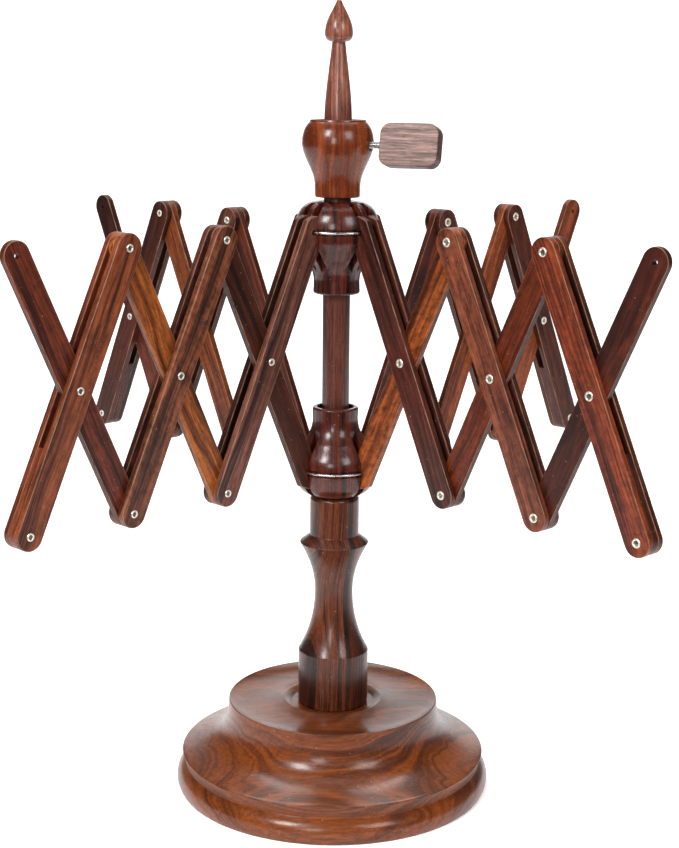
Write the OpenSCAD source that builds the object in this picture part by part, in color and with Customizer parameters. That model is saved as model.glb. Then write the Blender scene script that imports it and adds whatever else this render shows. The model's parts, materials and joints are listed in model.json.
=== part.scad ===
// Table-top yarn swift: a turned stand with two hubs on one spindle, and four
// lazy-tongs arms of riveted slats that open like an umbrella.
// The stand's axis is Z, the underside of the base is at z = 0, and all sizes are in mm.

/* [Arms] */
// Distance between the end pivots of a slat
slat_pitch = 155.6; // [140:0.2:170]
// Width of a slat
slat_w = 15.5; // [13:0.5:17]
// Thickness of a slat
slat_t = 4; // [3.5:0.1:4]
// Angle of the slats above the horizontal
fold_angle = 65; // [50:1:75]
// Length of the spacer at the outer end of an arm
spacer_len = 52; // [40:1:56]

/* [Hubs] */
// Height of the lower hub's wire ring above the table
lower_ring_z = 198.6; // [194:0.2:204]
// Radius of the wire rings, measured to the middle of the wire
ring_r = 24.2; // [23.8:0.1:24.6]
// Diameter of the ring wire
wire_d = 1.4; // [1.2:0.1:1.8]
// Largest radius of a hub
hub_r = 24.5; // [24.2:0.1:25.2]

/* [Stand] */
// Overall height
total_h = 469; // [455:1:480]
// Diameter of the spindle
spindle_d = 16; // [14:0.5:16]
// Height of the base
base_h = 54; // [50:1:58]
// Largest radius of the base
base_r = 95.6; // [90:0.2:100]
// Radius of the pedestal's lower block
block_r = 21.2; // [19:0.1:22]

/* [Clamp collar] */
// Largest radius of the collar
collar_r = 20.8; // [19.5:0.1:22]
// Height of the collar
collar_h = 44; // [40:1:48]
// Direction that the clamp screw points in, from the X axis
screw_azimuth = -20; // [-90:1:30]
// Diameter of the clamp screw
screw_d = 4; // [3:0.5:4]
// Length of the thumb paddle
paddle_l = 34.5; // [28:0.5:40]
// Height of the thumb paddle
paddle_h = 24.5; // [20:0.5:30]
// Thickness of the thumb paddle
paddle_t = 10; // [8:0.5:12]
// Angle that the thumb paddle's face leans back at rest
paddle_turn = 12; // [-90:1:90]

/* [Hidden] */
ARMS = [1:4];
STAGES = [1:3];
SIDES = ["left", "right"];

// Fits and small hardware
fit = 0.05;
spindle_clear = 0.1;
eyelet_r = 1.5;
eyelet_bore_r = 1.1;
eyelet_head_r = 2.6;
eyelet_roll_r = 2.2;
eyelet_head_h = 0.6;
layer_gap = 0.2;
slot_clear = 0.25;
glue_line = 0.02;
running_gap = 0.1;
collar_gap = 2.2;
screw_rise = 30;
insert_wall = 1.2;
spindle_socket = 42;

// The screw under the base
base_screw_r = 2.2;
screw_head_r = 4.4;
screw_head_h = 4;
head_hole_r = 6;
head_hole_h = 8;
screw_grip = 16;

// Places worked out from the sizes above
half_pitch = slat_pitch / 2;
rise = slat_pitch * sin(fold_angle);
upper_ring_z = lower_ring_z + rise;
pair_y = slat_t + layer_gap;
stack_y = pair_y + slat_t / 2;
slot_floor_r = ring_r - 10;
hub_below = 16.8;
hub_above = 36.8;
hub_neck_r = 13.6;
pedestal_top = lower_ring_z - hub_below - running_gap;
collar_z = upper_ring_z + hub_below + collar_gap;
screw_z = collar_z + screw_rise;
spindle_r = spindle_d / 2;
bore_r = spindle_r + spindle_clear;
insert_r = screw_d / 2 + insert_wall;
paddle_x = 26.6;
screw_end_x = paddle_x + paddle_l * 0.6;
recess_floor = base_h - 3;
tenon_r = 11;
tenon_h = 25;
tenon_foot = recess_floor - tenon_h;
spindle_foot = pedestal_top - spindle_socket;

$fn = 64;

// ---- Curves for turned profiles -------------------------------------------

// Points of a cubic curve from a to d, drawn towards b and c, without the point d
function curve(a, b, c, d, n = 6) = [
    for (i = [0:n - 1]) let (t = i / n, u = 1 - t)
        u * u * u * a + 3 * u * u * t * b + 3 * u * t * t * c + t * t * t * d
];

// Points of an arc about c, from angle a0 to a1
function arc(c, r, a0, a1, n = 6) = [
    for (i = [0:n]) let (a = a0 + (a1 - a0) * i / n) c + r * [cos(a), sin(a)]
];

module turned(points) rotate_extrude() polygon(points);

module bore(r, z0, z1) translate([0, 0, z0]) cylinder(r = r, h = z1 - z0);

// ---- Stand ----------------------------------------------------------------

module base_body() {
    foot_r = 10;
    foot_z = 5.5;
    foot_dip = 29;
    flat_r = base_r - foot_r + foot_r * cos(foot_dip + 4.4);
    lip_r = base_r - 3.3;
    rim_r = base_r - 32.2;
    dish_r = 29.6;
    turned(concat(
        [[0, 0], [flat_r, 0]],
        arc([base_r - foot_r, foot_z], foot_r, -foot_dip, 54, 8),
        [[lip_r, 15.6], [lip_r, 21.8]],
        curve([lip_r - 0.6, 22.2], [rim_r + 13, 28], [rim_r + 3.5, 30], [rim_r + 1, base_h - 9], 8),
        [[rim_r + 1, base_h - 9], [rim_r + 0.2, base_h - 0.3], [rim_r - 0.3, base_h]],
        curve([rim_r - 0.6, base_h - 0.2], [rim_r - 9, base_h - 5], [dish_r + 12, base_h - 5],
              [dish_r, base_h - 0.5], 6),
        [[dish_r, base_h - 0.5], [dish_r - 0.8, base_h - 0.7], [dish_r - 4.6, recess_floor],
         [0, recess_floor]]
    ));
}

module base() color("sienna") difference() {
    base_body();
    bore(tenon_r, tenon_foot, base_h);
    bore(base_screw_r + 0.4, -1, base_h);
    bore(head_hole_r, -1, head_hole_h);
}

module base_screw() color("silver") {
    bore(screw_head_r, head_hole_h - screw_head_h, head_hole_h);
    bore(base_screw_r, head_hole_h - 0.5, tenon_foot + screw_grip);
}

module pedestal() color("saddlebrown") {
    flange_z = pedestal_top - 29.4;
    waist_z = flange_z - 30.8;
    shoulder_z = base_h + 31.2;
    waist_r = block_r - 9.8;
    neck_r = block_r - 6.5;
    lip_r = block_r - 0.6;
    difference() {
        union() {
            turned(concat(
                [[0, recess_floor], [block_r - 0.6, recess_floor], [block_r, recess_floor + 1],
                 [block_r, shoulder_z - 0.6], [block_r - 0.3, shoulder_z]],
                curve([block_r - 0.4, shoulder_z + 0.1], [block_r - 4.4, shoulder_z + 7.2],
                      [waist_r + 0.2, shoulder_z + 19], [waist_r, waist_z], 8),
                curve([waist_r, waist_z], [waist_r, waist_z + 12], [waist_r + 3.6, waist_z + 21],
                      [lip_r, flange_z], 8),
                [[lip_r, flange_z], [lip_r - 0.1, flange_z + 0.4], [neck_r, flange_z + 4.8]],
                arc([neck_r - 2.9, pedestal_top - 2.9], 2.9, 0, 90),
                [[0, pedestal_top]]
            ));
            bore(tenon_r - fit, tenon_foot, recess_floor + 1);
        }
        bore(spindle_r + fit, spindle_foot, pedestal_top + 1);
        bore(base_screw_r + fit, tenon_foot - 1, tenon_foot + screw_grip + 2);
    }
}

module spindle() color("rosybrown") {
    bud_z = total_h - 23;
    bud_neck_r = 3.8;
    turned(concat(
        [[0, spindle_foot], [spindle_r - 0.8, spindle_foot], [spindle_r, spindle_foot + 0.8]],
        curve([spindle_r, bud_z - 45], [spindle_r, bud_z - 29], [5, bud_z - 13], [bud_neck_r, bud_z]),
        curve([bud_neck_r, bud_z], [7.2, bud_z + 0.2], [spindle_r, bud_z + 2.2], [spindle_r, bud_z + 5]),
        curve([spindle_r, bud_z + 5], [spindle_r, bud_z + 12], [3.6, bud_z + 17], [1.2, total_h], 8),
        [[1.2, total_h], [0, total_h]]
    ));
}

// ---- Hubs, drawn with the ring at z = 0 and the neck upwards ---------------

module hub_body() difference() {
    waist_r = 18.6;
    turned(concat(
        [[0, -hub_below], [11.6, -hub_below]],
        curve([12, -hub_below + 0.1], [18.5, -hub_below + 0.6], [hub_r - 1, -12.5], [hub_r, -1]),
        curve([hub_r, -1], [hub_r + 0.2, 7], [hub_r - 2.9, 10.6], [waist_r, 16.4], 6),
        curve([waist_r, 16.4], [waist_r - 2.8, 20.4], [hub_neck_r - 0.2, 23], [hub_neck_r - 0.3, 31], 5),
        [[hub_neck_r, hub_above - 0.8], [hub_neck_r - 0.8, hub_above], [0, hub_above]]
    ));
    bore(bore_r, -hub_below - 1, hub_above + 1);
    bore(hub_neck_r - 2.7, hub_above - 20, hub_above + 1);
    rotate_extrude() polygon([[hub_r - 1.1, -1.2], [hub_r + 2, -2.2], [hub_r + 2, 2.2], [hub_r - 1.1, 1.2]]);
}

// A slot for one slat, cut in from the outside, with its middle at y
module hub_slot(y) {
    width = slat_t + 2 * slot_clear;
    translate([slot_floor_r, y - width / 2, -hub_below - 1])
        cube([hub_r, width, hub_below + hub_above + 2]);
}

module lower_hub() color("brown") translate([0, 0, lower_ring_z]) difference() {
    hub_body();
    for (a = ARMS) rotate(arm_azimuth(a)) hub_slot(0);
}

module upper_hub() color("maroon") translate([0, 0, upper_ring_z]) difference() {
    mirror([0, 0, 1]) hub_body();
    for (a = ARMS, y = [-pair_y, pair_y]) rotate(arm_azimuth(a)) mirror([0, 0, 1]) hub_slot(y);
}

module wire_ring(z) color("lightgrey") translate([0, 0, z]) rotate_extrude()
    translate([ring_r, 0]) circle(d = wire_d, $fn = 24);

module lower_ring() wire_ring(lower_ring_z);

module upper_ring() wire_ring(upper_ring_z);

// ---- Clamp collar ---------------------------------------------------------

// Turns and lifts a piece drawn along +X onto the clamp screw's line
module on_screw_line() translate([0, 0, screw_z]) rotate(screw_azimuth) children();

// A rod along the screw's line, from x0 to x1
module cross_rod(r, x0, x1) translate([x0, 0, 0]) rotate([0, 90, 0]) cylinder(r = r, h = x1 - x0);

module collar() color("chocolate") difference() {
    foot_r = 13.1;
    rim_r = collar_r - 4.4;
    translate([0, 0, collar_z]) turned(concat(
        [[0, 0], [foot_r - 0.5, 0], [foot_r, 0.5]],
        curve([foot_r + 0.1, 4], [foot_r - 0.3, 15.5], [collar_r - 1.4, 19.6], [collar_r, 30]),
        curve([collar_r, 30], [collar_r, 36.4], [collar_r - 1.9, 40.4], [rim_r, collar_h - 1.2]),
        [[rim_r - 0.1, collar_h - 1.2], [rim_r - 0.3, collar_h], [rim_r - 1.3, collar_h]],
        curve([rim_r - 1.7, collar_h - 0.2], [rim_r - 3.7, collar_h - 1.6], [spindle_r + 3, collar_h - 1.8],
              [spindle_r, collar_h - 1.8], 4),
        [[0, collar_h - 1.8]]
    ));
    bore(bore_r, collar_z - 1, collar_z + collar_h + 1);
    on_screw_line() cross_rod(insert_r + glue_line, 0, collar_r + 1);
}

module collar_insert() color("goldenrod") on_screw_line() difference() {
    cross_rod(insert_r, bore_r + 0.8, collar_r - 2.6);
    cross_rod(screw_d / 2 + fit, 0, collar_r);
}

module clamp_screw() color("silver") on_screw_line()
    cross_rod(screw_d / 2, bore_r + 0.05, screw_end_x);

module paddle_outline() offset(r = 6, $fn = 48) square([paddle_l - 12, paddle_h - 12], center = true);

module thumb_paddle() color("rosybrown") on_screw_line() difference() {
    translate([paddle_x + paddle_l / 2, 0, 0]) rotate([90 - paddle_turn, 0, 0])
        linear_extrude(height = paddle_t, center = true) paddle_outline();
    cross_rod(screw_d / 2 + glue_line, 0, screw_end_x + glue_line);
}

// ---- Arms -----------------------------------------------------------------

function arm_azimuth(a) = 45 + 90 * (a - 1);

// Radius of the pivots between stage k and stage k + 1 of an arm
function pivot_r(k) = ring_r + k * slat_pitch * cos(fold_angle);

// Places a slat, drawn along +X from its inner pivot, as stage k of arm a
module as_riser(a, k) rotate(arm_azimuth(a)) translate([pivot_r(k - 1), 0, lower_ring_z])
    rotate([0, -fold_angle, 0]) children();

module as_pair(a, k) rotate(arm_azimuth(a)) translate([pivot_r(k - 1), 0, upper_ring_z])
    rotate([0, fold_angle, 0]) children();

// Outline of a slat; the end that sits in a hub has clipped corners, the others are round
module slat_outline(in_hub) {
    half_w = slat_w / 2;
    clip = 5;
    back = 9.5;
    translate([0, -half_w]) square([slat_pitch, slat_w]);
    translate([slat_pitch, 0]) circle(r = half_w);
    if (in_hub) polygon([
        [1, half_w], [clip - back, half_w], [-back, half_w - clip],
        [-back, clip - half_w], [clip - back, -half_w], [1, -half_w]
    ]);
    else circle(r = half_w);
}

// A pivot hole across a slat at x
module pivot_hole(x, r) translate([x, 0, 0]) rotate([90, 0, 0])
    cylinder(r = r, h = 4 * stack_y, center = true);

module slat(in_hub, inner_hole_r) difference() {
    rotate([90, 0, 0]) linear_extrude(height = slat_t, center = true) slat_outline(in_hub);
    pivot_hole(0, inner_hole_r);
    pivot_hole(half_pitch, eyelet_r + fit);
    pivot_hole(slat_pitch, eyelet_r + fit);
}

module riser(a, k) color(k == 2 ? "peru" : "sienna") as_riser(a, k)
    slat(k == 1, k == 1 ? wire_d / 2 + 0.25 : eyelet_r + fit);

// The ring curves away from the pivot line across a pair, so the hole round it is wider
module pair_slat(a, k, side) color(k == 2 ? "maroon" : "saddlebrown") as_pair(a, k) {
    translate([0, side == "left" ? pair_y : -pair_y, 0])
        slat(k == 1, k == 1 ? wire_d / 2 + 1 : eyelet_r + fit);
    if (k == 3 && side == "left") spacer();
}

// Fills the gap between the two slats of the outermost pair, at its lower end
module spacer() difference() {
    rotate([90, 0, 0]) linear_extrude(height = slat_t + 2 * layer_gap - 2 * glue_line, center = true)
        intersection() {
            slat_outline(false);
            translate([slat_pitch + slat_w / 2 - spacer_len, -slat_w]) square([spacer_len, 2 * slat_w]);
        }
    pivot_hole(slat_pitch, eyelet_r + fit);
}

// A tubular rivet across all three layers: its rolled end shows on the left side of an arm
// and its wider factory head on the right side
module eyelet(x) translate([x, 0, 0]) rotate([90, 0, 0]) rotate_extrude() polygon([
    for (s = [-1, 1]) each let (rim_r = s < 0 ? eyelet_roll_r : eyelet_head_r, head = [
        [eyelet_r, stack_y], [rim_r, stack_y], [rim_r - 0.3, stack_y + eyelet_head_h * 0.7],
        [eyelet_r, stack_y + eyelet_head_h], [eyelet_bore_r, stack_y + eyelet_head_h * 0.5]
    ]) s < 0 ? [for (i = [4:-1:0]) [head[i][0], -head[i][1]]] : head
]);

// The rivets that each pair carries: its top pivot beyond stage 1, its crossing and its foot
module eyelets(a, k) color("silver") as_pair(a, k) {
    if (k > 1) eyelet(0);
    eyelet(half_pitch);
    eyelet(slat_pitch);
}

// ---- Nodes ----------------------------------------------------------------

base();
base_screw();
pedestal();
spindle();
lower_hub();
lower_ring();
upper_hub();
upper_ring();
collar();
collar_insert();
clamp_screw();
thumb_paddle();
for (a = ARMS, k = STAGES) {
    riser(a, k);
    eyelets(a, k);
    for (s = SIDES)
        pair_slat(a, k, s);
}
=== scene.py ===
"""Looks of the table-top yarn swift: turned rosewood stand, hubs and collar, and four arms of
riveted slats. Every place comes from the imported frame; lengths below are in metres."""
import json
import math
import random

import bmesh
import bpy
from mathutils import Matrix, Vector
from mathutils.geometry import tessellate_polygon


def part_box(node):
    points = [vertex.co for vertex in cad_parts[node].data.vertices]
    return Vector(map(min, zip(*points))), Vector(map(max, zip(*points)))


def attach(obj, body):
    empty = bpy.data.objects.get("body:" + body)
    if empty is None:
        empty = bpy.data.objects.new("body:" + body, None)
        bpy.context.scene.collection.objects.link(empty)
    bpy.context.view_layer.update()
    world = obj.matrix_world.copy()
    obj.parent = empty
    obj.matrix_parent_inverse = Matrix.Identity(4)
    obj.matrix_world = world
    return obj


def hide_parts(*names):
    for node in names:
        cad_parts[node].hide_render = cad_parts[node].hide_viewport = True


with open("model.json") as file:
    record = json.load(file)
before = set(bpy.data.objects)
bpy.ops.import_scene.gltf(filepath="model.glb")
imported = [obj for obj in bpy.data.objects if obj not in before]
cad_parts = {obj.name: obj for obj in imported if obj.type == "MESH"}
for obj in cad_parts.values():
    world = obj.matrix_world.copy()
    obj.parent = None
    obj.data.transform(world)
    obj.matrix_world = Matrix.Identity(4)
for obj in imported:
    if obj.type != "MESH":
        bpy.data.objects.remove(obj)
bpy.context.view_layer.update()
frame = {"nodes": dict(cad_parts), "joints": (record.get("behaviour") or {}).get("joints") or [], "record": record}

MM = 0.001
ARMS = (1, 2, 3, 4)
STAGES = (1, 2, 3)
JOINTS = {j["name"]: j for j in frame["joints"]}
UP = Vector((0, 0, 1))
SAME_PLACE = 0.002 * MM


# ---- Numbers and curves ------------------------------------------------------

def srgb(r, g, b):
    """A linear colour from 0-255 display values."""
    def lin(c):
        c /= 255
        return c / 12.92 if c <= 0.04045 else ((c + 0.055) / 1.055) ** 2.4
    return (lin(r), lin(g), lin(b), 1.0)


def curve(a, b, c, d, n=24):
    """Points of a cubic curve from a to d, drawn towards b and c, without d."""
    points = []
    for i in range(n):
        t = i / n
        u = 1 - t
        w = (u ** 3, 3 * u * u * t, 3 * u * t * t, t ** 3)
        points.append(tuple(sum(w[j] * p[k] for j, p in enumerate((a, b, c, d))) for k in (0, 1)))
    return points


def arc(centre, radius, a0, a1, n=20):
    """Points of an arc, with its angles in degrees."""
    return [(centre[0] + radius * math.cos(math.radians(a0 + (a1 - a0) * i / n)),
             centre[1] + radius * math.sin(math.radians(a0 + (a1 - a0) * i / n))) for i in range(n + 1)]


def circle(radius, count):
    """Points evenly round a circle about the origin."""
    return [(radius * math.cos(2 * math.pi * i / count), radius * math.sin(2 * math.pi * i / count))
            for i in range(count)]


def soften(points, radius, closed=True, turn=22, steps=4):
    """Rounds each corner that turns by more than `turn` degrees."""
    result = []
    count = len(points)
    for i, p in enumerate(points):
        p = Vector(p)
        if not closed and i in (0, count - 1):
            result.append(tuple(p))
            continue
        before = Vector(points[i - 1]) - p
        after = Vector(points[(i + 1) % count]) - p
        if before.length < 1e-9 or after.length < 1e-9:
            continue
        if math.degrees(math.pi - before.angle(after)) < turn:
            result.append(tuple(p))
            continue
        reach = min(radius, 0.45 * before.length, 0.45 * after.length)
        a = p + before.normalized() * reach
        b = p + after.normalized() * reach
        for s in range(steps + 1):
            t = s / steps
            result.append(tuple((1 - t) ** 2 * a + 2 * t * (1 - t) * p + t * t * b))
    return result


# ---- Meshes --------------------------------------------------------------------

def merge(mesh):
    """Joins points that fall together, which leaves no faces without area."""
    bm = bmesh.new()
    bm.from_mesh(mesh)
    bmesh.ops.remove_doubles(bm, verts=bm.verts, dist=SAME_PLACE)
    bmesh.ops.dissolve_degenerate(bm, edges=bm.edges, dist=SAME_PLACE)
    bm.to_mesh(mesh)
    bm.free()


def make_object(name, verts, faces, smooth_angle=35, merged=False):
    mesh = bpy.data.meshes.new(name)
    mesh.from_pydata([tuple(v) for v in verts], [], faces)
    if merged:
        merge(mesh)
    mesh.validate()
    mesh.shade_smooth()
    mesh.set_sharp_from_angle(angle=math.radians(smooth_angle))
    obj = bpy.data.objects.new(name, mesh)
    bpy.context.scene.collection.objects.link(obj)
    return obj


def weight_normals(obj):
    """Keeps large flat faces flat where they meet small rounded edges."""
    modifier = obj.modifiers.new("flat_faces", "WEIGHTED_NORMAL")
    modifier.keep_sharp = True
    return obj


def set_vectors(obj, name, vectors):
    attribute = obj.data.attributes.new(name, "FLOAT_VECTOR", "POINT")
    attribute.data.foreach_set("vector", [c for v in vectors for c in v])


def grain(obj, along, across, offset=(0, 0, 0), origin=(0, 0, 0), tint=(1, 1, 1), figure=0.0, worn=None):
    """Stores where each point lies in its board, in mm: x along the grain, y and z across it.
    tint may be a function of the point; worn lists the eased edges that are painted lighter: a painted highlight
    along them, with some rubbed wear."""
    along, across = Vector(along).normalized(), Vector(across).normalized()
    third = along.cross(across)
    origin, offset = Vector(origin), Vector(offset)
    local = []
    for v in obj.data.vertices:
        p = (v.co - origin) / MM
        local.append(Vector((p.dot(along), p.dot(across), p.dot(third))) + offset)
    set_vectors(obj, "grain", local)
    set_vectors(obj, "tint", [tint(v.co) if callable(tint) else tint for v in obj.data.vertices])
    edges = set(worn or ())
    # The figure attribute's second value flags the eased edges painted lighter, a painted highlight with some wear
    set_vectors(obj, "figure", [(figure, float(i in edges), 0) for i in range(len(local))])
    return obj


def closed_loft(rings):
    """Faces between consecutive closed rings of the same size, the last joined to the first."""
    count = len(rings[0])
    verts = [p for ring in rings for p in ring]
    faces = []
    for i in range(len(rings)):
        a, b = i * count, ((i + 1) % len(rings)) * count
        faces += [(a + j, a + (j + 1) % count, b + (j + 1) % count, b + j) for j in range(count)]
    return verts, faces


def capped_tube(rings, turned=False):
    """Verts and faces of a tube through rings of the same size, closed at both ends.
    turned is for rings that run clockwise about the way the tube goes."""
    sides, last = len(rings[0]), len(rings) - 1
    verts = [p for ring in rings for p in ring]
    faces = []
    for i in range(last):
        a, b = i * sides, (i + 1) * sides
        faces += [(a + s, a + (s + 1) % sides, b + (s + 1) % sides, b + s) for s in range(sides)]
    faces += [tuple(reversed(range(sides))), tuple(last * sides + s for s in range(sides))]
    return verts, [tuple(reversed(f)) for f in faces] if turned else faces


def lathe(name, profile, segments=160, smooth_angle=35):
    """Turns a profile of (radius, height) about Z. A profile that touches the axis is closed
    by its own poles; any other is a closed loop round a bore."""
    verts, faces, rings = [], [], []
    for r, z in profile:
        if r < 1e-7:
            rings.append([len(verts)])
            verts.append((0, 0, z))
        else:
            rings.append(list(range(len(verts), len(verts) + segments)))
            verts += [(x, y, z) for x, y in circle(r, segments)]
    has_axis = any(len(r) == 1 for r in rings)
    pairs = list(zip(rings, rings[1:])) + ([] if has_axis else [(rings[-1], rings[0])])
    for a, b in pairs:
        for i in range(segments):
            j = (i + 1) % segments
            if len(a) == 1 and len(b) == 1:
                continue
            if len(a) == 1:
                faces.append((a[0], b[j], b[i]))
            elif len(b) == 1:
                faces.append((a[i], a[j], b[0]))
            else:
                faces.append((a[i], a[j], b[j], b[i]))
    return make_object(name, verts, faces, smooth_angle)


def cut(obj, cutter):
    """Cuts one mesh out of another for good."""
    modifier = obj.modifiers.new("cut", "BOOLEAN")
    modifier.operation = "DIFFERENCE"
    modifier.solver = "EXACT"
    modifier.object = cutter
    mesh = bpy.data.meshes.new_from_object(obj.evaluated_get(bpy.context.evaluated_depsgraph_get()))
    obj.modifiers.remove(modifier)
    merge(mesh)
    obj.data = mesh
    bpy.data.objects.remove(cutter)
    return obj


# ---- Materials -------------------------------------------------------------------

class Nodes:
    """A small helper that adds shader nodes and wires them up."""

    def __init__(self, name):
        self.material = bpy.data.materials.new(name)
        self.material.use_nodes = True
        self.tree = self.material.node_tree
        self.shader = self.tree.nodes["Principled BSDF"]

    def add(self, kind, inputs=None, **settings):
        node = self.tree.nodes.new(kind)
        for key, value in settings.items():
            setattr(node, key, value)
        for key, value in (inputs or {}).items():
            socket = node.inputs[key]
            if isinstance(value, bpy.types.NodeSocket):
                self.tree.links.new(value, socket)
            else:
                socket.default_value = value
        return node

    def vector(self, name):
        return self.add("ShaderNodeAttribute", attribute_name=name).outputs["Vector"]

    def scale(self, vector, factors):
        return self.add("ShaderNodeVectorMath", {0: vector, 1: factors}, operation="MULTIPLY").outputs[0]

    def math(self, operation, a, b=0.0, clamp=False):
        return self.add("ShaderNodeMath", {0: a, 1: b}, operation=operation, use_clamp=clamp).outputs[0]

    def noise(self, vector, scale=1.0, detail=2.0, roughness=0.5):
        return self.add("ShaderNodeTexNoise",
                        {"Vector": vector, "Scale": scale, "Detail": detail, "Roughness": roughness})

    def ramp(self, factor, stops):
        node = self.add("ShaderNodeValToRGB", {"Fac": factor})
        elements = node.color_ramp.elements
        elements[0].position, elements[0].color = stops[0]
        elements[1].position, elements[1].color = stops[-1]
        for position, colour in stops[1:-1]:
            elements.new(position).color = colour
        return node.outputs["Color"]

    def span(self, value, low, high, to_low=0.0, to_high=1.0):
        return self.add("ShaderNodeMapRange", {"Value": value, "From Min": low, "From Max": high,
                                               "To Min": to_low, "To Max": to_high}).outputs[0]

    def mix(self, factor, a, b, blend="MIX"):
        node = self.add("ShaderNodeMix", data_type="RGBA", blend_type=blend)
        for index, value in ((0, factor), (6, a), (7, b)):
            if isinstance(value, bpy.types.NodeSocket):
                self.tree.links.new(value, node.inputs[index])
            else:
                node.inputs[index].default_value = value
        return node.outputs[2]

    def finish(self, **values):
        for key, value in values.items():
            socket = self.shader.inputs[key.replace("_", " ")]
            if isinstance(value, bpy.types.NodeSocket):
                self.tree.links.new(value, socket)
            else:
                socket.default_value = value
        return self.material


PORE = (0.010, 0.004, 0.002, 1)
# Lighter colour of the eased edges: a painted edge highlight, with some rubbed wear
EDGE_HIGHLIGHT_AND_WEAR = (0.34, 0.17, 0.095, 1)
DUST = (0.55, 0.45, 0.40, 1)


def wood(name, dark, mid, light, band=6.0, warp=5.0, pith=(20.0, 35.0), lines=0.3, grainy=1.0,
         rough=0.40, coat=0.06, shine=0.24):
    """Oiled rosewood: growth bands about a pith line, streaks, fibres, open pores and a thin finish.
    band is the usual band width and warp how far the bands wander, both in mm; lines is the
    weight of the fine growth lines and grainy the strength of the streaks and fibres."""
    n = Nodes(name)
    place = n.vector("grain")
    drift = n.noise(n.scale(place, (0.009, 0.035, 0.035)), detail=2.0).outputs["Color"]
    drift = n.add("ShaderNodeVectorMath", {0: drift, 1: (0.5, 0.5, 0.5)}, operation="SUBTRACT").outputs[0]
    drift = n.scale(drift, (0, 2 * warp, 2 * warp))
    bent = n.add("ShaderNodeVectorMath", {0: place, 1: drift}, operation="ADD").outputs[0]
    parts = n.add("ShaderNodeSeparateXYZ", {0: bent})
    across = n.add("ShaderNodeCombineXYZ", {"Y": n.math("ADD", parts.outputs["Y"], pith[0]),
                                            "Z": n.math("ADD", parts.outputs["Z"], pith[1])}).outputs[0]
    depth = n.add("ShaderNodeVectorMath", {0: across}, operation="LENGTH").outputs["Value"]
    along = n.math("MULTIPLY", parts.outputs["X"], 0.004)

    def layer(width, seed):
        ring = n.math("DIVIDE", depth, width)
        v = n.add("ShaderNodeCombineXYZ", {"X": ring, "Y": along, "Z": seed}).outputs[0]
        return n.noise(v, detail=3.0, roughness=0.55).outputs["Fac"]

    bands = n.math("MULTIPLY", layer(band, 0.0), 1 - lines)
    bands = n.math("ADD", bands, n.math("MULTIPLY", layer(band * 0.2, 7.0), lines))
    colour = n.ramp(bands, [(0.39, dark), (0.46, mid), (0.53, light),
                            (0.58, mid), (0.62, dark), (0.70, light)])
    streak = n.noise(n.scale(bent, (0.05, 0.55, 0.55)), detail=3.0, roughness=0.6).outputs["Fac"]
    fibre = n.noise(n.scale(place, (0.10, 2.1, 2.1)), detail=3.0, roughness=0.65).outputs["Fac"]
    streak = n.span(streak, 0.35, 0.65, 1 - 0.38 * grainy, 1 + 0.38 * grainy)
    shade = n.math("MULTIPLY", streak, n.span(fibre, 0.35, 0.65, 1 - 0.3 * grainy, 1 + 0.3 * grainy))
    pores = n.noise(n.scale(place, (0.22, 1.7, 1.7)), detail=2.0, roughness=0.6).outputs["Fac"]
    pores = n.math("MULTIPLY", n.span(pores, 0.60, 0.68), 1.0, clamp=True)
    curl = n.noise(n.scale(place, (0.30, 0.22, 0.14)), detail=4.0, roughness=0.6).outputs["Fac"]
    curl = n.span(curl, 0.38, 0.62, -0.38, 0.38)
    marks = n.add("ShaderNodeSeparateXYZ", {0: n.vector("figure")})
    shade = n.math("ADD", shade, n.math("MULTIPLY", curl, marks.outputs["X"]))
    shade = n.add("ShaderNodeCombineColor", {0: shade, 1: shade, 2: shade}).outputs[0]
    colour = n.mix(1.0, colour, shade, "MULTIPLY")
    colour = n.mix(1.0, colour, n.vector("tint"), "MULTIPLY")
    colour = n.mix(n.math("MULTIPLY", pores, 0.6), colour, PORE)
    # Eased edges are painted lighter: a painted highlight along them, with some rubbed wear
    painted_lightening = n.noise(n.scale(place, (0.12, 0.12, 0.12)), detail=3.0, roughness=0.6).outputs["Fac"]
    painted_lightening = n.math("MULTIPLY", n.span(painted_lightening, 0.38, 0.60, 0.25, 0.95), marks.outputs["Y"], clamp=True)
    colour = n.mix(painted_lightening, colour, EDGE_HIGHLIGHT_AND_WEAR)
    dust = n.noise(place, scale=0.9, detail=1.0).outputs["Fac"]
    colour = n.mix(n.span(dust, 0.765, 0.80, 0.0, 0.55), colour, DUST)
    height = n.math("SUBTRACT", n.math("MULTIPLY", fibre, 0.35), pores)
    bump = n.add("ShaderNodeBump", {"Height": height, "Strength": 0.3, "Distance": 0.00015})
    polish = n.span(fibre, 0.3, 0.7, rough - 0.05, rough + 0.07)
    polish = n.math("ADD", polish, n.math("MULTIPLY", pores, 0.2))
    return n.finish(Base_Color=colour, Roughness=polish, Normal=bump.outputs[0],
                    Coat_Weight=coat, Coat_Roughness=0.18, Specular_IOR_Level=shine)


def metal(name, colour, rough, worn):
    """Bright metal with faint scuffs and a little tarnish."""
    n = Nodes(name)
    place = n.add("ShaderNodeTexCoord").outputs["Object"]
    scuffs = n.noise(place, scale=900, detail=3.0, roughness=0.65).outputs["Fac"]
    tarnish = n.noise(place, scale=160, detail=2.0).outputs["Fac"]
    dull = tuple(c * 0.45 for c in colour[:3]) + (1,)
    shade = n.mix(n.span(tarnish, 0.42, 0.68, 0.0, worn), colour, dull)
    bump = n.add("ShaderNodeBump", {"Height": scuffs, "Strength": 0.12, "Distance": 0.00005})
    return n.finish(Base_Color=shade, Metallic=1.0, Normal=bump.outputs[0],
                    Roughness=n.span(scuffs, 0.3, 0.7, rough - 0.06, rough + 0.08))


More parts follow.
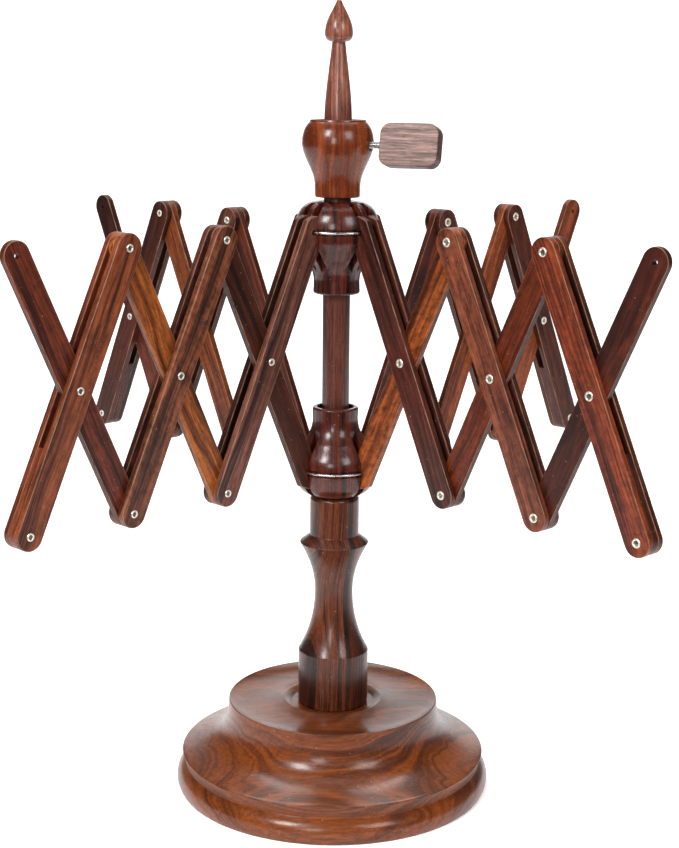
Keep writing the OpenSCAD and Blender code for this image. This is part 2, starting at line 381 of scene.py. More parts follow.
# Dark, middle and light display colours of each wood, then what differs from plain rosewood
WOODS = {
    "base_wood": ((68, 30, 11), (98, 45, 13), (124, 61, 19),
                  dict(band=7.5, warp=7.0, pith=(18.0, 62.0), lines=0.28, grainy=0.6,
                       rough=0.31, coat=0.35)),
    "pedestal_wood": ((32, 14, 8), (67, 29, 15), (100, 48, 24),
                      dict(band=4.5, warp=2.5, pith=(70.0, 45.0), grainy=0.8, rough=0.32, coat=0.34)),
    "spindle_wood": ((52, 24, 18), (72, 34, 26), (92, 47, 35),
                     dict(band=2.5, warp=1.5, pith=(60.0, 30.0), grainy=0.9, rough=0.34, coat=0.45)),
    "hub_wood": ((30, 10, 6), (60, 20, 12), (92, 36, 22),
                 dict(band=4.0, warp=2.0, pith=(70.0, 28.0), lines=0.1, grainy=0.55,
                      rough=0.29, coat=0.45)),
    "collar_wood": ((86, 34, 14), (114, 48, 17), (134, 62, 22),
                    dict(band=7.0, warp=4.0, pith=(60.0, 22.0), lines=0.06, grainy=0.45,
                         rough=0.27, coat=0.35)),
    # The paddle's pale greyish wood is a painted reflection of the key light on its faces, over brown wood
    "paddle_wood": ((98, 71, 62), (122, 92, 83), (142, 112, 102),
                    dict(band=2.0, warp=3.0, pith=(44.0, 52.0), grainy=1.3, rough=0.42)),
    "slat_wood": ((48, 20, 12), (96, 46, 28), (128, 66, 38), {}),
    "slat_wood_light": ((70, 32, 15), (122, 62, 28), (156, 86, 40), {}),
    "slat_wood_dark": ((36, 18, 15), (74, 40, 30), (104, 60, 44), {}),
}
FINISHES = {name: wood(name, srgb(*dark), srgb(*mid), srgb(*light), **settings)
            for name, (dark, mid, light, settings) in WOODS.items()}
FINISHES["steel"] = metal("steel", (0.60, 0.59, 0.57, 1), 0.26, 0.6)
FINISHES["nickel"] = metal("nickel", (0.92, 0.88, 0.78, 1), 0.42, 0.3)
FINISHES["brass"] = metal("brass", (0.72, 0.55, 0.28, 1), 0.3, 0.5)
SLOT = {s["node"]: s["material_slot"] for s in frame["record"]["subparts"]}


def finish_piece(obj, node, body):
    """Gives a piece the finish of the CAD node it replaces and lets it ride on its body."""
    slot = SLOT[node]
    obj.data.materials.clear()
    obj.data.materials.append(FINISHES[slot])
    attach(obj, body)
    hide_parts(node)
    return obj


# ---- Stand -----------------------------------------------------------------------

def mm_profile(points):
    return [(r * MM, z * MM) for r, z in points]


def box_mm(node):
    low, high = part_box(node)
    return low / MM, high / MM


base_high = box_mm("base")[1]
pedestal_low, pedestal_high = box_mm("pedestal")
spindle_low, spindle_high = box_mm("spindle")

BASE_R = base_high.x
BASE_H = base_high.z
PEDESTAL_TOP = pedestal_high.z
BLOCK_R = pedestal_high.x
SPINDLE_R = spindle_high.x
SOCKET_R = 11.0
SOCKET_DEPTH = 25.0
RECESS_FLOOR = pedestal_low.z + SOCKET_DEPTH
BORE_R = SPINDLE_R + 0.1


def make_base():
    foot_r, foot_z = 10.0, 5.5
    lip_r = BASE_R - 3.3
    rim_r = BASE_R - 32.2
    dish_r = 29.6
    outline = [(6.0, 8.0), (6.0, 0.0)]
    outline += arc((BASE_R - foot_r, foot_z), foot_r, -math.degrees(math.asin(foot_z / foot_r)), 54, 28)
    outline += [(lip_r - 2.4, 14.6), (lip_r - 0.7, 20.4), (lip_r, 21.8)]
    outline += curve((lip_r - 0.6, 22.2), (rim_r + 13, 28), (rim_r + 3.5, 30),
                     (rim_r + 1, BASE_H - 9), 36)
    outline += [(rim_r + 1, BASE_H - 9), (rim_r + 0.2, BASE_H - 0.3), (rim_r - 0.3, BASE_H)]
    outline += curve((rim_r - 0.6, BASE_H - 0.2), (rim_r - 9, BASE_H - 5), (dish_r + 12, BASE_H - 5),
                     (dish_r, BASE_H - 0.5), 28)
    outline += [(dish_r, BASE_H - 0.5), (dish_r - 0.8, BASE_H - 0.7), (dish_r - 4.6, RECESS_FLOOR),
                (SOCKET_R, RECESS_FLOOR), (SOCKET_R, RECESS_FLOOR - SOCKET_DEPTH),
                (2.6, RECESS_FLOOR - SOCKET_DEPTH), (2.6, 8.0)]
    obj = lathe("base_turned", mm_profile(soften(outline, 0.5)), 288)
    grain(obj, (1, 0.10, 0.02), (0, 1, 0), offset=(40, 0, 0))
    return finish_piece(obj, "base", "root")


def make_pedestal():
    flange_z = PEDESTAL_TOP - 29.4
    waist_z = flange_z - 30.8
    shoulder_z = BASE_H + 31.2
    waist_r = BLOCK_R - 9.8
    neck_r = BLOCK_R - 6.5
    lip_r = BLOCK_R - 0.6
    outline = [(2.3, pedestal_low.z), (SOCKET_R - 0.05, pedestal_low.z), (SOCKET_R - 0.05, RECESS_FLOOR),
               (BLOCK_R - 0.6, RECESS_FLOOR), (BLOCK_R, RECESS_FLOOR + 1),
               (BLOCK_R, shoulder_z - 0.6), (BLOCK_R - 0.3, shoulder_z)]
    outline += curve((BLOCK_R - 0.4, shoulder_z + 0.1), (BLOCK_R - 4.4, shoulder_z + 7.2),
                     (waist_r + 0.2, shoulder_z + 19), (waist_r, waist_z), 32)
    outline += curve((waist_r, waist_z), (waist_r, waist_z + 12), (waist_r + 3.6, waist_z + 21),
                     (lip_r, flange_z), 32)
    outline += [(lip_r, flange_z), (lip_r - 0.1, flange_z + 0.4), (neck_r, flange_z + 4.8)]
    outline += arc((neck_r - 2.9, PEDESTAL_TOP - 2.9), 2.9, 0, 90, 10)
    outline += [(SPINDLE_R + 0.05, PEDESTAL_TOP), (SPINDLE_R + 0.05, spindle_low.z),
                (2.3, spindle_low.z)]
    obj = lathe("pedestal_turned", mm_profile(soften(outline, 0.35)), 192)
    grain(obj, (0.05, 0.09, 1), (1, 0, 0), offset=(0, 4, 9))
    return finish_piece(obj, "pedestal", "root")


# The spindle is painted lighter from this height up, over this fade, in mm: a painted highlight on its top, which
# leaves the part under the arms darker as painted shade
LIT_TOP_Z, LIT_TOP_FADE = 395, 20
LIT_TOP_GAIN = (2.0, 2.8, 2.7)


def painted_top_highlight(point):
    """The spindle's tint at a point: painted lighter towards its top, a painted highlight."""
    painted_lightening = min(max((point.z / MM - LIT_TOP_Z) / LIT_TOP_FADE, 0), 1)
    return tuple(1 + gain * painted_lightening for gain in LIT_TOP_GAIN)


def make_spindle():
    top = spindle_high.z
    bud_z = top - 23
    bud_neck_r = 3.8
    outline = [(0, spindle_low.z), (SPINDLE_R - 0.8, spindle_low.z), (SPINDLE_R, spindle_low.z + 0.8)]
    outline += curve((SPINDLE_R, bud_z - 45), (SPINDLE_R, bud_z - 29), (5, bud_z - 13),
                     (bud_neck_r, bud_z), 24)
    outline += curve((bud_neck_r, bud_z), (7.2, bud_z + 0.2), (SPINDLE_R, bud_z + 2.2),
                     (SPINDLE_R, bud_z + 5), 16)
    outline += curve((SPINDLE_R, bud_z + 5), (SPINDLE_R, bud_z + 12), (3.6, bud_z + 17), (1.2, top), 24)
    outline += [(1.2, top), (0, top)]
    obj = lathe("spindle_turned", mm_profile(soften(outline, 0.4, closed=False)), 128)
    # The tint paints the spindle's top lighter, a painted highlight
    grain(obj, (0.02, 0.03, 1), (1, 0, 0), offset=(0, 15, -6), tint=painted_top_highlight)
    return finish_piece(obj, "spindle", "root")


def make_base_screw():
    low, high = box_mm("base_screw")
    head_r, thread_r, core_r = 4.4, 2.2, 1.75
    outline = [(0, low.z), (head_r - 0.5, low.z), (head_r, low.z + 0.6), (thread_r, low.z + 3.6)]
    pitch, z = 1.8, low.z + 6
    while z + pitch < high.z - 2:
        outline += [(core_r, z), (thread_r, z + 0.8), (core_r, z + 1.1)]
        z += pitch
    outline += [(0, high.z)]
    obj = lathe("base_screw_turned", mm_profile(outline), 40, 25)
    slot = cuboid("driver_slot", (head_r * 1.5 * MM, 0.6 * MM, 1.4 * MM))
    turn = Matrix.Rotation(math.radians(35), 4, "Z")
    slot.data.transform(Matrix.Translation((0, 0, low.z * MM)) @ turn)
    cut(obj, slot)
    return finish_piece(obj, "base_screw", "root")


def cuboid(name, half):
    corners = [(x * half[0], y * half[1], z * half[2]) for x in (-1, 1) for y in (-1, 1) for z in (-1, 1)]
    faces = [(0, 1, 3, 2), (4, 6, 7, 5), (0, 4, 5, 1), (2, 3, 7, 6), (0, 2, 6, 4), (1, 5, 7, 3)]
    return make_object(name, corners, faces)


# ---- Hubs and rings --------------------------------------------------------------

def slotted_ring(radius, z, slots, floor, round_by, arc_steps=10):
    """One level of a hub: a circle with straight-walled slots cut in from outside.
    slots are (azimuth, y0, y1); where the circle is inside the slots' floor it stays round."""
    def on_wall(x, y, azimuth):
        c, s = math.cos(azimuth), math.sin(azimuth)
        return (x * c - y * s, x * s + y * c, z)

    points = []
    for i, (azimuth, y0, y1) in enumerate(slots):
        next_azimuth, next_y0, _ = slots[(i + 1) % len(slots)]
        if next_azimuth <= azimuth and next_y0 < y1:
            next_azimuth += 2 * math.pi

        def out(y):
            return math.sqrt(max(radius * radius - y * y, 1e-12))

        def wall(y):
            return min(round_by, 0.5 * max(out(y) - min(floor, out(y)), 0.0))

        for s in range(5):
            y = y0 + (y1 - y0) * s / 4
            points.append(on_wall(min(floor, out(y)), y, azimuth))
        r0, r1 = wall(y1), wall(next_y0)
        start = azimuth + math.asin(y1 / radius)
        end = next_azimuth + math.asin(next_y0 / radius)
        points.append(on_wall(out(y1) - r0, y1, azimuth))
        points.append(on_wall(out(y1) - 0.3 * r0, y1 + 0.3 * r0, azimuth))
        lo, hi = start + r0 / radius, end - r1 / radius
        for s in range(arc_steps + 1):
            angle = lo + (hi - lo) * s / arc_steps
            points.append((radius * math.cos(angle), radius * math.sin(angle), z))
        points.append(on_wall(out(next_y0) - 0.3 * r1, next_y0 - 0.3 * r1, next_azimuth))
        points.append(on_wall(out(next_y0) - r1, next_y0, next_azimuth))
    return points


def make_hub(node, ring_joint, flip, slots, offset):
    """A hub is one turned piece, used neck up below and neck down above, with its own slots."""
    ring_z = JOINTS[ring_joint]["pos_m"][2]
    neck_r, above, below = 13.6, 36.8, 16.8
    hub_r, waist_r = 24.5, 18.6
    outline = [(BORE_R, -below), (11.6, -below)]
    outline += curve((12, -below + 0.1), (18.5, -below + 0.6), (hub_r - 1, -12.5), (hub_r, -2.2), 18)
    outline += [(hub_r, -2.15), (hub_r - 0.5, -1.7), (hub_r - 1.1, -1.2), (hub_r - 1.1, 1.2),
                (hub_r - 0.5, 1.7), (hub_r + 0.02, 2.15)]
    outline += curve((hub_r, 2.2), (hub_r, 8), (hub_r - 2.9, 10.8), (waist_r, 16.4), 18)
    outline += curve((waist_r, 16.4), (waist_r - 2.8, 20.4), (neck_r - 0.2, 23), (neck_r - 0.3, 31), 16)
    outline += [(neck_r, above - 0.8), (neck_r - 0.8, above), (neck_r - 2.7, above),
                (neck_r - 2.7, above - 20), (BORE_R, above - 20)]
    outline = soften(outline, 0.4)
    sign = -1 if flip else 1
    floor = SLOT_FLOOR
    rings = [slotted_ring(r * MM, ring_z + sign * h * MM, slots, floor, 0.45 * MM) for r, h in outline]
    if flip:
        rings.reverse()
    obj = make_object(node + "_turned", *closed_loft(rings), smooth_angle=38, merged=True)
    weight_normals(obj)
    grain(obj, (0.04, 0.02, 1), (1, 0, 0), offset=offset)
    return finish_piece(obj, node, node)


def make_ring(node, body):
    """A wire ring with its two cut ends butted together."""
    low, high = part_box(node)
    wire_r = (high.z - low.z) / 2
    ring_r = high.x - wire_r
    z = (high.z + low.z) / 2
    gap = 0.012
    turns, sides = 160, 16
    rings = []
    for i in range(turns + 1):
        a = math.radians(200) + gap + (2 * math.pi - 2 * gap) * i / turns
        end = 0.75 if i in (0, turns) else 1.0
        out = Vector((math.cos(a), math.sin(a), 0))
        rings.append([out * ring_r + (out * math.cos(b) + UP * math.sin(b)) * wire_r * end + UP * z
                      for b in (2 * math.pi * s / sides for s in range(sides))])
    obj = make_object(node + "_wire", *capped_tube(rings, turned=True))
    return finish_piece(obj, node, body)


# ---- Collar, clamp screw and paddle -------------------------------------------------

CLAMP = JOINTS["clamp_turn"]
SCREW_AXIS = Vector(CLAMP["axis"])
SCREW_Z = CLAMP["pos_m"][2]
PADDLE_X, PADDLE_LENGTH = 26.6, 34.5


def along_screw(obj):
    """Turns a piece built along +X, about the origin, onto the clamp screw's line."""
    side = UP.cross(SCREW_AXIS)
    turn = Matrix((SCREW_AXIS, side, UP)).transposed().to_4x4()
    obj.data.transform(Matrix.Translation((0, 0, SCREW_Z)) @ turn)
    return obj


def x_lathe(name, profile, segments=48, smooth_angle=35):
    """A turned piece whose axis is +X."""
    obj = lathe(name, profile, segments, smooth_angle)
    obj.data.transform(Matrix(((0, 0, 1), (0, 1, 0), (-1, 0, 0))).to_4x4())
    return obj


def make_collar():
    low, high = box_mm("collar")
    z0, height, r = low.z, high.z - low.z, high.x
    foot_r, rim_r = 13.1, high.x - 4.4
    outline = [(BORE_R, 0), (foot_r - 0.5, 0), (foot_r, 0.5)]
    outline += curve((foot_r + 0.1, 4), (foot_r - 0.3, 15.5), (r - 1.4, 19.6), (r, 30), 28)
    outline += curve((r, 30), (r, 36.4), (r - 1.9, 40.4), (rim_r, height - 1.2), 20)
    outline += [(rim_r - 0.1, height - 1.2), (rim_r - 0.3, height), (rim_r - 1.3, height)]
    dish_z = height - 1.8
    outline += curve((rim_r - 1.7, height - 0.2), (rim_r - 3.7, height - 1.6), (SPINDLE_R + 3, dish_z),
                     (SPINDLE_R, dish_z), 10)
    outline += [(BORE_R, dish_z)]
    outline = [(a, b + z0) for a, b in soften(outline, 0.4)]
    obj = lathe("collar_turned", mm_profile(outline), 192)
    hole_r = 3.25
    drilled = [(0, 9.0), (hole_r, 9.0), (hole_r, 19.2), (hole_r + 1.4, 21.5), (0, 21.5)]
    cut(obj, along_screw(x_lathe("collar_drill", mm_profile(drilled))))
    obj.data.shade_smooth()
    obj.data.set_sharp_from_angle(angle=math.radians(35))
    grain(obj, (0.06, 0.0, 1), (1, 0, 0), offset=(0, 5, 0))
    return finish_piece(obj, "collar", "collar")


def make_clamp_screw():
    """A machine screw with a real helical thread."""
    pitch, outer, root = 0.7, 2.0, 1.6
    start, stop = SPINDLE_R + 0.15, PADDLE_X + PADDLE_LENGTH * 0.6
    sides, per_pitch = 28, 8
    levels = int((stop - start) / pitch * per_pitch)
    rings = []
    for i in range(levels + 1):
        x = start + (stop - start) * i / levels
        ring = []
        for s in range(sides):
            turn = s / sides
            phase = ((x / pitch) - turn) % 1.0
            tooth = 1 - abs(2 * phase - 1)
            r = root + (outer - root) * min(1.0, 1.25 * tooth)
            if i in (0, levels):
                r = root - 0.2
            angle = 2 * math.pi * turn
            ring.append((x * MM, r * MM * math.cos(angle), r * MM * math.sin(angle)))
        rings.append(ring)
    obj = along_screw(make_object("clamp_screw_threaded", *capped_tube(rings), smooth_angle=50))
    return finish_piece(obj, "clamp_screw", "clamp_screw")


def rounded_plate(outline, holes, thickness, edge, steps=4, hole_edge=0.0):
    """Verts and faces of a plate in the XZ plane, centred on y = 0, with eased edges.
    outline runs anticlockwise; holes are (x, radius, sides)."""
    count = len(outline)
    normals = []
    for i in range(count):
        a, b = Vector(outline[i - 1]), Vector(outline[(i + 1) % count])
        t = (b - a).normalized()
        normals.append(Vector((-t.y, t.x)))
    verts, levels = [], []
    half = thickness / 2
    for side in (-1, 1):
        for s in range(steps + 1):
            angle = math.pi / 2 * (s / steps if side > 0 else 1 - s / steps)
            inset = edge * (1 - math.cos(angle))
            y = side * (half - edge + edge * math.sin(angle))
            levels.append(list(range(len(verts), len(verts) + count)))
            verts += [(p[0] + n.x * inset, y, p[1] + n.y * inset) for p, n in zip(outline, normals)]
    faces = []
    for a, b in zip(levels, levels[1:]):
        faces += [(a[i], b[i], b[(i + 1) % count], a[(i + 1) % count]) for i in range(count)]
    hole_rings = {-1: [], 1: []}
    for x, radius, sides in holes:
        rings = []
        for y, r in ((-half, radius + hole_edge), (-half + hole_edge, radius),
                     (half - hole_edge, radius), (half, radius + hole_edge)):
            rings.append(list(range(len(verts), len(verts) + sides)))
            verts += [(x + u, y, v) for u, v in circle(r, sides)]
        for a, b in zip(rings, rings[1:]):
            faces += [(a[(i + 1) % sides], b[(i + 1) % sides], b[i], a[i]) for i in range(sides)]
        hole_rings[-1].append(rings[0])
        hole_rings[1].append(rings[-1])
    for side, ring in ((-1, levels[0]), (1, levels[-1])):
        loops = [ring] + hole_rings[side]
        flat = [i for loop in loops for i in loop]
        flat_loops = [[Vector((verts[i][0], verts[i][2], 0)) for i in loop] for loop in loops]
        triangles = tessellate_polygon(flat_loops)
        area = 0.0
        for t in triangles:
            a, b, c = (verts[flat[i]] for i in t)
            area += (b[0] - a[0]) * (c[2] - a[2]) - (c[0] - a[0]) * (b[2] - a[2])
        for t in triangles:
            corners = t if (area > 0) == (side < 0) else tuple(reversed(t))
            faces.append(tuple(flat[i] for i in corners))
    return verts, faces


def make_paddle():
    start, length, height, thick, corner = PADDLE_X, PADDLE_LENGTH, 24.5, 10.0, 6.0
    lean_back, dark_side = math.radians(-12), (0.35, 0.28, 0.28)
    near, far = start + corner, start + length - corner
    half = height / 2 - corner
    outline = []
    for cx, cz, a in ((far, half, 0), (near, half, 90), (near, -half, 180), (far, -half, 270)):
        outline += arc((cx, cz), corner, a, a + 90, 12)
    outline = [(x * MM, z * MM) for x, z in outline]
    verts, faces = rounded_plate(outline, [], thick * MM, 0.6 * MM, 5)
    obj = make_object("thumb_paddle_shaped", verts, faces)
    face_y = (thick / 2 - 0.3) * MM
    # The rim is painted darker than the faces: partly darker end grain, partly painted shade, against the faces'
    # painted reflection
    dark_sides = [(1, 1, 1) if abs(v.co.y) > face_y else dark_side for v in obj.data.vertices]
    obj.data.transform(Matrix.Rotation(lean_back, 4, "X"))
    weight_normals(along_screw(obj))
    grain(obj, SCREW_AXIS, UP, offset=(12, 3, 5))
    obj.data.attributes.remove(obj.data.attributes["tint"])
    set_vectors(obj, "tint", dark_sides)
    return finish_piece(obj, "thumb_paddle", "clamp_screw")


# ---- Arms --------------------------------------------------------------------------

class Line:
    """Where one slat lies: its inner pivot, the way it runs, and the arm's side direction."""

    def __init__(self, inner, cross, side):
        self.inner = Vector(inner)
        self.along = (Vector(cross) - self.inner).normalized()
        self.pitch = 2 * (Vector(cross) - self.inner).length
        self.side = Vector(side)
        self.up = self.along.cross(self.side)

    def place(self, obj):
        """Moves a piece built along +X with its layers along Y onto this line."""
        turn = Matrix((self.along, self.side, self.up)).transposed().to_4x4()
        obj.data.transform(Matrix.Translation(self.inner) @ turn)
        return obj


def arm_lines(arm):
    """The lines of an arm's three risers and three pairs, from the joints of the frame."""
    root = Vector(JOINTS["fold" if arm == 1 else f"arm{arm}_lower_pivot"]["pos_m"])
    outward = Vector((root.x, root.y, 0)).normalized()
    side = UP.cross(outward)
    feet = [root] + [Vector(JOINTS[f"arm{arm}_foot_{k}"]["pos_m"]) for k in (1, 2)]
    lines = {}
    for k in STAGES:
        cross = Vector(JOINTS[f"arm{arm}_cross_{k}"]["pos_m"])
        top = Vector((feet[k - 1].x, feet[k - 1].y, 2 * cross.z - feet[k - 1].z))
        lines["riser", k] = Line(feet[k - 1], cross, side)
        lines["pair", k] = Line(top, cross, side)
    return lines


SLAT_T = 4.0 * MM
SLAT_W = 15.5 * MM
LAYER = 4.2 * MM
STACK = LAYER + SLAT_T / 2
SLOT_FLOOR = 14.2 * MM
HOLE_R = 1.55 * MM
HUB_HOLE_R = {"riser": 0.95 * MM, "pair": 1.7 * MM}


def slat_outline(pitch, in_hub):
    half = SLAT_W / 2
    points = arc((pitch, 0), half, -90, 90, 28)
    if in_hub:
        clip, back = 5 * MM, 9.5 * MM
        corners = [(clip - back, half), (-back, half - clip), (-back, clip - half), (clip - back, -half)]
        points = soften(points + corners, 1.0 * MM, turn=30, steps=4)
    else:
        points += arc((0, 0), half, 90, 270, 28)
    return points


def edge_points(outline, steps):
    """The points of a plate's eased edges, as rounded_plate numbers them."""
    count = len(outline)
    rows = [r for r in range(2 * steps + 2) if r % (steps + 1) in (steps // 2, steps // 2 + 1)]
    return [r * count + i for r in rows for i in range(count)]


def make_slat(name, line, layer, in_hub, hub_hole_r):
    first = hub_hole_r if in_hub else HOLE_R
    holes = [(x, r, 24) for x, r in ((0, first), (line.pitch / 2, HOLE_R), (line.pitch, HOLE_R))]
    outline = slat_outline(line.pitch, in_hub)
    verts, faces = rounded_plate(outline, holes, SLAT_T, 0.55 * MM, 4, 0.12 * MM)
    verts = [(x, y + layer, z) for x, y, z in verts]
    obj = weight_normals(line.place(make_object(name, verts, faces)))
    return obj, edge_points(outline, 4)


def make_spacer(name, line):
    half, length = SLAT_W / 2 - 0.1 * MM, 52 * MM
    back = line.pitch + SLAT_W / 2 - length
    thickness = 2 * (LAYER - SLAT_T / 2)
    points = [(back, -half)] + arc((line.pitch, 0), half, -90, 90, 24) + [(back, half)]
    verts, faces = rounded_plate(points, [(line.pitch, HOLE_R, 24)], thickness, 0.15 * MM, 2, 0.05 * MM)
    return weight_normals(line.place(make_object(name, verts, faces)))


def eyelet_profile():
    """Bore, rolled end, shank and factory head of a tubular rivet, as (radius, height)."""
    def rim(outer, bore, height):
        crown = (bore + outer) / 2
        inner = [(crown - (crown - bore) * math.cos(a), STACK / MM + height * math.sin(a))
                 for a in (math.radians(90 * i / 6) for i in range(7))]
        return inner + [(crown + (outer - crown) * math.sin(a), STACK / MM + height * math.cos(a))
                        for a in (math.radians(90 * i / 6) for i in range(1, 7))]

    rolled = [(1.1, STACK / MM - 1.2)] + rim(2.2, 1.15, 0.55) + [(1.5, STACK / MM)]
    head = [(1.1, STACK / MM - 1.2)] + rim(2.6, 1.4, 0.55) + [(1.5, STACK / MM)]
    return rolled + [(r, -z) for r, z in reversed(head)]


def make_eyelets(name, line, places):
    verts, faces = [], []
    profile = mm_profile(eyelet_profile())
    sides = 28
    for x in places:
        start = len(verts)
        for r, y in profile:
            verts += [(x + u, y, v) for u, v in circle(r, sides)]
        count = len(profile)
        for i in range(count):
            a, b = start + i * sides, start + ((i + 1) % count) * sides
            faces += [(a + s, a + (s + 1) % sides, b + (s + 1) % sides, b + s) for s in range(sides)]
    return line.place(make_object(name, verts, faces, 40))


# Tint over its slot's wood, strength of the curly figure and slope of the grain, slat by slat
TONES = {
    ("arm1", "pair_3_left"): ((0.42, 0.34, 0.4), 0.2, 0.05),
    ("arm1", "pair_3_right"): ((0.42, 0.34, 0.4), 0.2, 0.08),
    ("arm1", "riser_3"): ((1.35, 1.25, 1.1), 0.4, 0.10),
    ("arm2", "pair_3_left"): ((0.36, 0.27, 0.27), 0.3, 0.04),
    ("arm2", "pair_3_right"): ((0.36, 0.27, 0.27), 0.3, -0.06),
    ("arm2", "riser_3"): ((0.5, 0.36, 0.34), 0.4, 0.05),
    ("arm3", "pair_1_left"): ((1.25, 1.35, 1.5), 0.3, 0.06),
    ("arm3", "pair_2_left"): ((1.45, 1.32, 1.0), 0.9, 0.45),
    ("arm3", "pair_3_left"): ((1.1, 1.05, 0.95), 0.3, 0.10),
    ("arm3", "riser_1"): ((0.3, 0.26, 0.26), 0.2, -0.08),
    ("arm3", "riser_2"): ((1.1, 1.05, 0.75), 0.4, 0.05),
    ("arm3", "riser_3"): ((0.66, 0.47, 0.45), 0.4, 0.08),
    ("arm4", "pair_1_right"): ((0.62, 0.40, 0.39), 0.3, 0.03),
    ("arm4", "pair_2_right"): ((1.6, 1.3, 1.05), 0.5, 0.05),
    ("arm4", "pair_3_right"): ((1.0, 0.72, 0.6), 0.6, -0.12),
    ("arm4", "riser_1"): ((0.80, 0.68, 0.58), 0.9, 0.45),
    ("arm4", "riser_2"): ((0.38, 0.22, 0.22), 0.5, 0.12),
    ("arm4", "riser_3"): ((0.42, 0.30, 0.33), 0.3, 0.10),
}


def make_arm(arm, rng):
    for (kind, k), line in arm_lines(arm).items():
        body = f"arm{arm}_{kind}_{k}"
        layers = {"": 0.0} if kind == "riser" else {"_left": LAYER, "_right": -LAYER}
        for suffix, layer in layers.items():
            node = body + suffix
            hub_hole_r = HUB_HOLE_R[kind]
            obj, worn = make_slat(node + "_board", line, layer, k == 1, hub_hole_r)
            spread = rng.uniform(0.45, 0.95)
            tint = (spread, spread * rng.uniform(0.75, 0.95), spread * rng.uniform(0.7, 0.9))
            chosen = (tint, rng.uniform(0.1, 0.6), rng.uniform(-0.15, 0.15))
            tint, figure, slope = TONES.get((f"arm{arm}", f"{kind}_{k}{suffix}"), chosen)
            shift = [rng.uniform(-400, 400), rng.uniform(-30, 30), rng.uniform(-40, 40)]
            lean = line.along + line.up * slope + line.side * rng.uniform(-0.02, 0.02)
            # worn holds the eased edges, painted lighter as a highlight with some wear
            grain(obj, lean, line.up, shift, line.inner, tint, figure, worn)
            finish_piece(obj, node, body)
            if node.endswith("pair_3_left"):
                spacer = make_spacer(f"arm{arm}_spacer", line)
                grain(spacer, line.along, line.up, [c + 60 for c in shift], line.inner, tint, figure)
                finish_piece(spacer, node, body)
        if kind == "pair":
            places = ([0] if k > 1 else []) + [line.pitch / 2, line.pitch]
            eyelets = make_eyelets(f"arm{arm}_eyelets_{k}_rolled", line, places)
            finish_piece(eyelets, f"arm{arm}_eyelets_{k}", body)


# ---- Assembly -------------------------------------------------------------------------

def azimuth(arm):
    x, y, _ = JOINTS["fold" if arm == 1 else f"arm{arm}_lower_pivot"]["pos_m"]
    return math.atan2(y, x) % (2 * math.pi)


RANDOM_SEED = 7
make_base()
make_base_screw()
make_pedestal()
make_spindle()
SLOT_HALF = SLAT_T / 2 + 0.25 * MM
make_hub("lower_hub", "fold", False, [(azimuth(a), -SLOT_HALF, SLOT_HALF) for a in ARMS], (5, 3, 2))
make_hub("upper_hub", "upper_pivot", True,
         [(azimuth(a), y - SLOT_HALF, y + SLOT_HALF) for a in ARMS for y in (-LAYER, LAYER)], (90, -7, 11))
make_ring("lower_ring", "lower_hub")
make_ring("upper_ring", "upper_hub")
make_collar()
make_clamp_screw()
make_paddle()
insert = frame["nodes"]["collar_insert"]
insert.data.materials.clear()
insert.data.materials.append(FINISHES["brass"])
chance = random.Random(RANDOM_SEED)
for arm_number in ARMS:
    make_arm(arm_number, chance)


# ---- Floor, lights and camera ----------------------------------------------------------

def make_room():
    """A plain white room round the paper. It neither lights the object nor shows in its gloss."""
    radius, floor_z = 9.0, -0.002
    profile = [(0, floor_z)] + arc((0, floor_z), radius, 0, 90, 24)[:-1] + [(0, radius)]
    room = lathe("white_room", profile, 48)
    n = Nodes("white_paint")
    room.data.materials.append(n.finish(Base_Color=(0, 0, 0, 1), Roughness=1.0, Specular_IOR_Level=0.0,
                                        Emission_Color=(1, 1, 1, 1), Emission_Strength=1.0))
    room.visible_diffuse = False
    room.visible_glossy = False
    room.visible_transmission = False
    room.visible_shadow = False


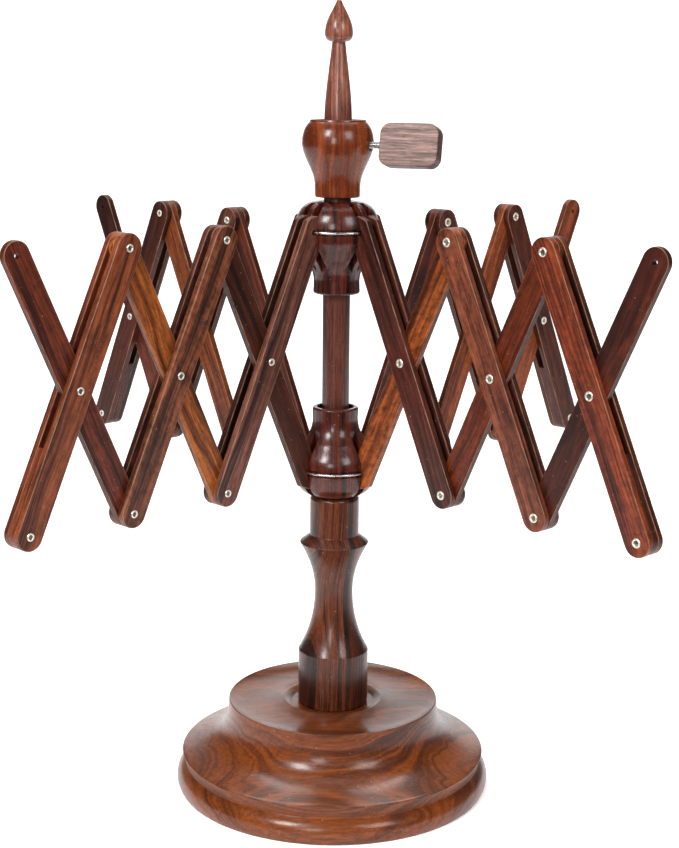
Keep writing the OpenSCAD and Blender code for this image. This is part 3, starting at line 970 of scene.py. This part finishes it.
def make_floor():
    """White paper, flat under the object and curving up a long way behind it."""
    width, depth, radius, height = 2.6, 3.0, 1.2, 2.6
    profile = [(-0.42, 0.0), (depth - radius, 0.0)]
    profile += [(depth - radius + radius * math.sin(a), radius - radius * math.cos(a))
                for a in (math.radians(90 * i / 16) for i in range(1, 17))]
    profile += [(depth, height)]
    verts = [(x, y, z) for y, z in profile for x in (-width / 2, width / 2)]
    faces = [(2 * i, 2 * i + 1, 2 * i + 3, 2 * i + 2) for i in range(len(profile) - 1)]
    floor = make_object("floor_sweep", verts, faces, 60)
    n = Nodes("pale_paper")
    speck = n.noise(n.add("ShaderNodeTexCoord").outputs["Object"], scale=4, detail=2.0).outputs["Fac"]
    tone = n.ramp(speck, [(0.3, (0.90, 0.90, 0.905, 1)), (0.7, (0.93, 0.93, 0.935, 1))])
    floor.data.materials.append(n.finish(Base_Color=tone, Roughness=0.9, Specular_IOR_Level=0.1,
                                         Emission_Color=(1, 1, 1, 1), Emission_Strength=0.4))


def soft_light(name, place, target, size, power, tint=(1, 1, 1)):
    light = bpy.data.lights.new(name, "AREA")
    light.shape = "RECTANGLE"
    light.size, light.size_y = size
    light.energy = power
    light.color = tint
    obj = bpy.data.objects.new(name, light)
    bpy.context.scene.collection.objects.link(obj)
    obj.location = place
    obj.rotation_euler = (Vector(target) - Vector(place)).to_track_quat("-Z", "Y").to_euler()
    return obj


def make_lights():
    middle = (0, 0, 0.25)
    soft_light("key_left", (-0.75, -1.05, 1.15), middle, (0.38, 0.50), 19)
    soft_light("key_right", (0.85, -1.15, 1.05), middle, (0.55, 0.65), 10)
    soft_light("fill", (-0.35, -1.5, 0.62), middle, (0.3, 0.4), 4.5)
    soft_light("top", (0, 0.3, 1.8), (0, 0.1, 0), (1.8, 1.4), 12)
    soft_light("backdrop", (0, 1.2, 3.0), (0, 2.9, 0.9), (3.0, 0.8), 75)
    world = bpy.data.worlds.new("studio")
    world.use_nodes = True
    background = world.node_tree.nodes["Background"]
    background.inputs["Color"].default_value = (1, 1, 1, 1)
    background.inputs["Strength"].default_value = 0.1
    bpy.context.scene.world = world
    bpy.context.scene.view_settings.view_transform = "Standard"


def make_camera():
    """In front of the swift and a little above its arms, looking slightly down."""
    camera = bpy.data.cameras.new("camera")
    camera.sensor_fit = "VERTICAL"
    camera.sensor_height = 36
    camera.lens = 70.3
    obj = bpy.data.objects.new("camera", camera)
    bpy.context.scene.collection.objects.link(obj)
    place, down, roll = (0.0025, -0.9634, 0.4272), 11.88, 0.57
    tilt = Matrix.Rotation(math.radians(90 - down), 4, "X")
    obj.matrix_world = Matrix.Translation(place) @ tilt @ Matrix.Rotation(math.radians(roll), 4, "Z")
    bpy.context.scene.camera = obj


make_room()
make_floor()
make_lights()
make_camera()
